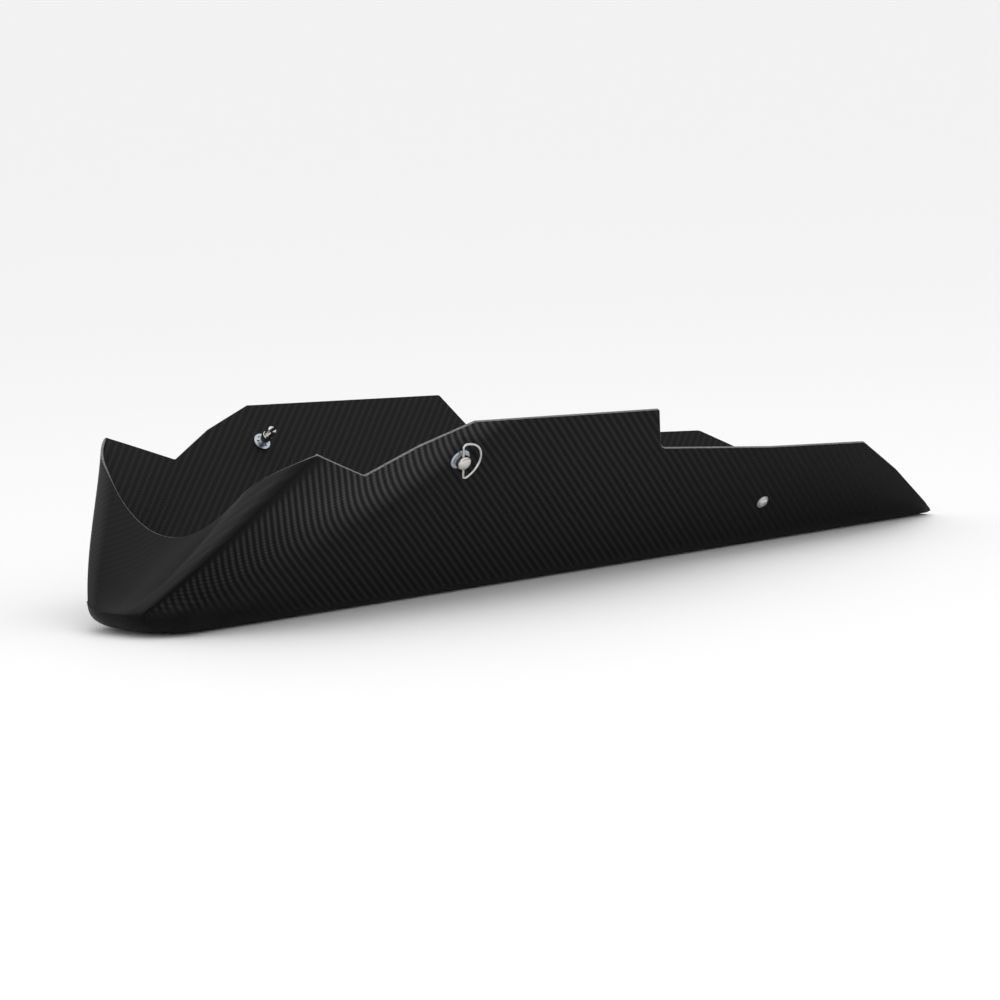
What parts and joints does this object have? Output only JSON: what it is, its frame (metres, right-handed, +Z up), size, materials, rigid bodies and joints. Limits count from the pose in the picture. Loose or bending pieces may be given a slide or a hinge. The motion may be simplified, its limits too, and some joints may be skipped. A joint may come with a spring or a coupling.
{
  "type": "motorcycle belly pan",
  "caption": "Carbon-laminate belly pan: an open trough with a scooped nose, quarter-turn studs with wire rings and rear socket screws.",
  "frame": {"origin": "on the plane of the pan's flat floor, under the middle of its length and width", "axes": "+X forward along the pan's long axis to the nose, +Y to the left side, +Z up"},
  "size_m": [0.793, 0.2886, 0.1411],
  "materials": {
    "carbon_twill": "satin clear-coated 2/2 twill carbon laminate, bare cut edges",
    "stainless": "turned and lightly polished stainless steel",
    "stainless_wire": "bright drawn stainless wire",
    "zinc_plated": "bluish zinc plate",
    "black_rubber": "matt black rubber"
  },
  "bodies": {
    "pan": {"pan_shell": "carbon_twill", "left_grommet": "zinc_plated", "left_rear_screw": "stainless", "left_rear_washer": "zinc_plated", "left_rear_soft_washer": "black_rubber", "right_grommet": "zinc_plated", "right_rear_screw": "stainless", "right_rear_washer": "zinc_plated", "right_rear_soft_washer": "black_rubber"},
    "left_turn": {"left_stud": "stainless", "left_retaining_ring": "zinc_plated"},
    "left_ring": {"left_wire_ring": "stainless_wire"},
    "right_turn": {"right_stud": "stainless", "right_retaining_ring": "zinc_plated"},
    "right_ring": {"right_wire_ring": "stainless_wire"}
  },
  "joints": [
    {"name": "left_quarter_turn", "type": "hinge", "parent": "pan", "child": "left_turn", "pos_m": [0.1585, 0.12552, 0.1115], "axis": [0, 0.8348, -0.5505], "range_deg": [0, 90]},
    {"name": "left_ring_fold", "type": "hinge", "parent": "left_turn", "child": "left_ring", "pos_m": [0.1585, 0.12904, 0.10918], "axis": [-0.342, -0.5173, -0.7845], "range_deg": [0, 180]},
    {"name": "right_quarter_turn", "type": "hinge", "parent": "pan", "child": "right_turn", "pos_m": [0.1585, -0.12552, 0.1115], "axis": [0, -0.8348, -0.5505], "range_deg": [0, 90]},
    {"name": "right_ring_fold", "type": "hinge", "parent": "right_turn", "child": "right_ring", "pos_m": [0.1585, -0.12904, 0.10918], "axis": [0.342, -0.5173, 0.7845], "range_deg": [0, 180]}
  ]
}
